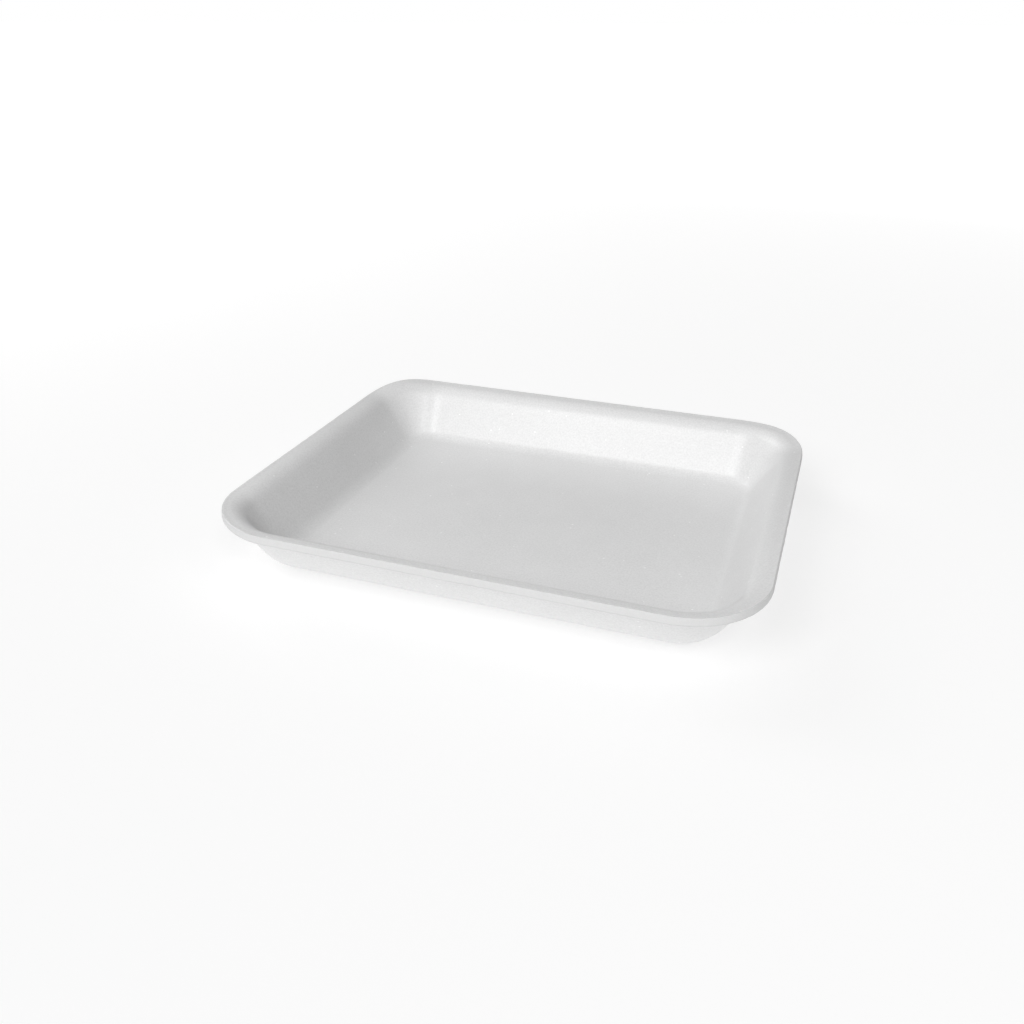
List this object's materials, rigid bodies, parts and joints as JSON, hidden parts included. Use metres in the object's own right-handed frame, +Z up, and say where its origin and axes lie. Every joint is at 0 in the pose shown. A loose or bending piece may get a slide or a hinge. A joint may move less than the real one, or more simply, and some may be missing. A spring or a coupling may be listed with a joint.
{
  "type": "foam food tray",
  "caption": "Shallow rectangular foam food tray with rounded corners, sloping walls and a flared rim with a cut edge; it holds portioned food for wrapping and lies flat.",
  "frame": {"origin": "centre of the tray's outline, on the surface it stands on", "axes": "+X along the long side, towards the right end in the picture; +Y along the short side, away from the viewer; +Z up"},
  "size_m": [0.2308, 0.193, 0.0314],
  "materials": {
    "white_foam": "white expanded polystyrene with a smooth, softly shining skin and a grainy cut edge"
  },
  "bodies": {
    "root": {"tray": "white_foam"}
  },
  "joints": []
}
